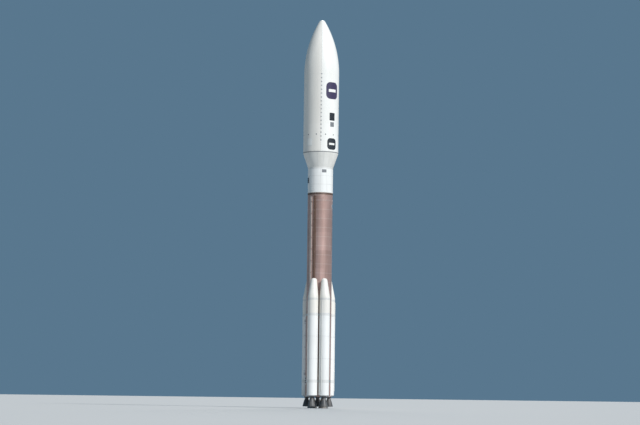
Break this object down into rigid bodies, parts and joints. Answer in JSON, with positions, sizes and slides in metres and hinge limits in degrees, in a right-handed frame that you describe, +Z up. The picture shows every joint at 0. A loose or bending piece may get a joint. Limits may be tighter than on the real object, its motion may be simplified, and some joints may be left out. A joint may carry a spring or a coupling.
{
  "type": "half-scale model of a two-stage space launch rocket with strap-on boosters",
  "caption": "Tall launch rocket: copper-coloured core with white solid boosters, a wide white payload fairing that parts, and gimballed twin nozzles.",
  "frame": {"origin": "on the vehicle's axis, in the plane of the hold-down pads under the aft skirt", "axes": "+Z up the vehicle to the nose, -Y the front where two boosters stand side by side, +X to the right seen from the front, through the second nozzle"},
  "size_m": [2.7, 3.5978, 29.8646],
  "materials": {
    "copper_skin": "satin bronze-coloured corrosion coating",
    "white_paint": "satin white paint",
    "fairing_white": "satin white paint on composite sandwich",
    "cream_paint": "matte off-white insulation paint",
    "foam": "matte sprayed foam",
    "bare_metal": "milled",
    "nozzle_metal": "heat-tinted",
    "dark_metal": "dark",
    "blanket": "woven thermal blanket",
    "carbon": "matte carbon phenolic"
  },
  "bodies": {
    "stage": {"aft_skirt": "copper_skin", "heat_shield": "blanket", "fuel_tank": "copper_skin", "center_body": "copper_skin", "oxidizer_tank": "copper_skin", "forward_skirt": "copper_skin", "raceway_front": "cream_paint", "raceway_rear": "cream_paint", "feed_line": "white_paint", "booster_attach_ring_forward": "bare_metal", "booster_attach_ring_aft": "bare_metal", "thrust_frame": "dark_metal", "booster_case_front_left": "white_paint", "booster_nose_front_left": "white_paint", "booster_nozzle_front_left": "carbon", "booster_case_front_right": "white_paint", "booster_nose_front_right": "white_paint", "booster_nozzle_front_right": "carbon", "booster_case_rear_right": "white_paint", "booster_nose_rear_right": "white_paint", "booster_nozzle_rear_right": "carbon", "booster_case_rear_center": "white_paint", "booster_nose_rear_center": "white_paint", "booster_nozzle_rear_center": "carbon", "booster_case_rear_left": "white_paint", "booster_nose_rear_left": "white_paint", "booster_nozzle_rear_left": "carbon", "field_joint_ring": "bare_metal", "interstage": "white_paint", "boattail": "cream_paint", "upper_stage": "foam", "payload_adapter": "bare_metal"},
    "gimbal_left": {"gimbal_ring_left": "bare_metal"},
    "chamber_left": {"thrust_chamber_left": "nozzle_metal", "nozzle_boot_left": "blanket"},
    "gimbal_right": {"gimbal_ring_right": "bare_metal"},
    "chamber_right": {"thrust_chamber_right": "nozzle_metal", "nozzle_boot_right": "blanket"},
    "fairing_left": {"fairing_half_left": "fairing_white"},
    "fairing_right": {"fairing_half_right": "fairing_white"}
  },
  "joints": [
    {"name": "pitch_left", "type": "hinge", "parent": "stage", "child": "gimbal_left", "pos_m": [-0.4225, 0, 0.75], "axis": [1, 0, 0], "range_deg": [-8, 8]},
    {"name": "yaw_left", "type": "hinge", "parent": "gimbal_left", "child": "chamber_left", "pos_m": [-0.4225, 0, 0.75], "axis": [0, 1, 0], "range_deg": [-8, 8]},
    {"name": "pitch_right", "type": "hinge", "parent": "stage", "child": "gimbal_right", "pos_m": [0.4225, 0, 0.75], "axis": [1, 0, 0], "range_deg": [-8, 8]},
    {"name": "yaw_right", "type": "hinge", "parent": "gimbal_right", "child": "chamber_right", "pos_m": [0.4225, 0, 0.75], "axis": [0, 1, 0], "range_deg": [-8, 8]},
    {"name": "part_left", "type": "slide", "parent": "stage", "child": "fairing_left", "axis": [-1, 0, 0], "range_m": [0, 1.6]},
    {"name": "part_right", "type": "slide", "parent": "stage", "child": "fairing_right", "axis": [1, 0, 0], "range_m": [0, 1.6]}
  ],
  "couplings": [
    {"joint": "yaw_right", "follows": "yaw_left", "ratio": 1}
  ]
}
